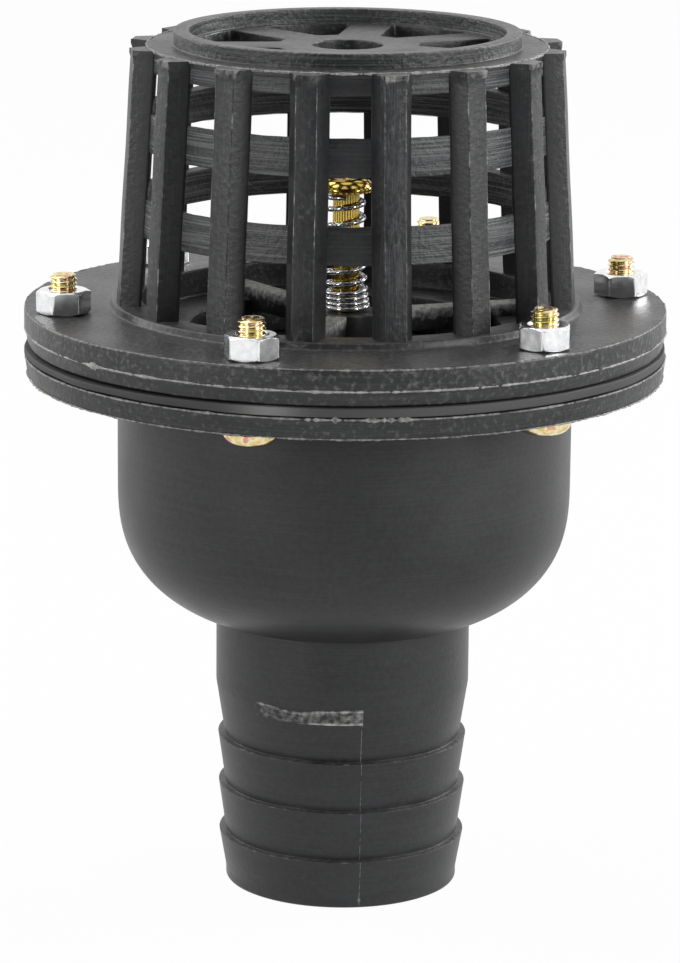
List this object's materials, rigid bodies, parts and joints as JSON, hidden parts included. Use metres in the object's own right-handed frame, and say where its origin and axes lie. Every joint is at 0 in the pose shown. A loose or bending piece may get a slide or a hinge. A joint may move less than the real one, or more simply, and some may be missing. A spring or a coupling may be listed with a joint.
{
  "type": "foot valve",
  "caption": "Plastic foot valve with a barbed hose tail, a round bowl, a bolted flange joint, a slatted strainer basket and a sprung disc that lifts off its seat.",
  "frame": {"origin": "centre of the hose tail's end face, which is the bottom of the part as it stands", "axes": "+Z along the valve's axis, from the hose tail up to the strainer's lid; -Y is the front"},
  "size_m": [0.1366, 0.1366, 0.185],
  "materials": {
    "black_plastic": "moulded black polypropylene, satin with flash lines",
    "black_rubber": "matt black sheet rubber",
    "yellow_zinc": "yellow passivated zinc plate on steel, slightly iridescent",
    "bright_zinc": "bright zinc plate on steel",
    "spring_steel": "bright drawn spring wire"
  },
  "bodies": {
    "housing": {"valve_body": "black_plastic", "strainer_basket": "black_plastic", "flange_gasket": "black_rubber", "return_spring": "spring_steel", "flange_screw_1": "yellow_zinc", "flange_screw_2": "yellow_zinc", "flange_screw_3": "yellow_zinc", "flange_screw_4": "yellow_zinc", "flange_screw_5": "yellow_zinc", "flange_screw_6": "yellow_zinc", "flange_nut_1": "bright_zinc", "flange_nut_2": "bright_zinc", "flange_nut_3": "bright_zinc", "flange_nut_4": "bright_zinc", "flange_nut_5": "bright_zinc", "flange_nut_6": "bright_zinc"},
    "poppet": {"valve_disc": "black_plastic", "seal_pad": "black_rubber", "pad_retainer": "bright_zinc", "stem_screw": "yellow_zinc", "stem_thin_nut": "bright_zinc", "stem_washer": "bright_zinc", "stem_lock_nut": "bright_zinc"}
  },
  "joints": [
    {"name": "poppet_lift", "type": "slide", "parent": "housing", "child": "poppet", "axis": [0, 0, -1], "range_m": [0, 0.012], "stiffness_N_per_m": 1500, "springref_m": -0.004, "deforming": ["return_spring"]}
  ]
}
